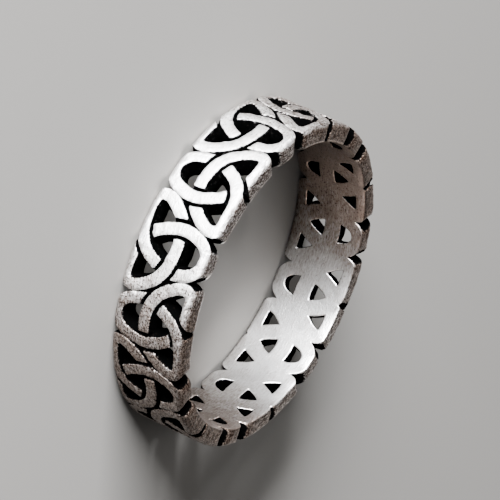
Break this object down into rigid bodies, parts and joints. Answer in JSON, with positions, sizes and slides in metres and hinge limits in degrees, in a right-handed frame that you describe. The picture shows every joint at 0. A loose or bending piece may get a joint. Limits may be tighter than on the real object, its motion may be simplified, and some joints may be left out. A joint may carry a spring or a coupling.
{
  "type": "silver ring",
  "caption": "Pierced silver band ring of interlaced trinity knots side by side, alternately upright and turned, with a plain smooth bore.",
  "frame": {"origin": "on the finger's axis, in the plane of the rim that the ring lies on", "axes": "+Z along the finger's axis, up through the other rim; +X out through the middle of an upright knot"},
  "size_m": [0.0208, 0.0208, 0.005],
  "materials": {
    "oxidised_silver": "satin"
  },
  "bodies": {
    "root": {"knot_band": "oxidised_silver"}
  },
  "joints": []
}
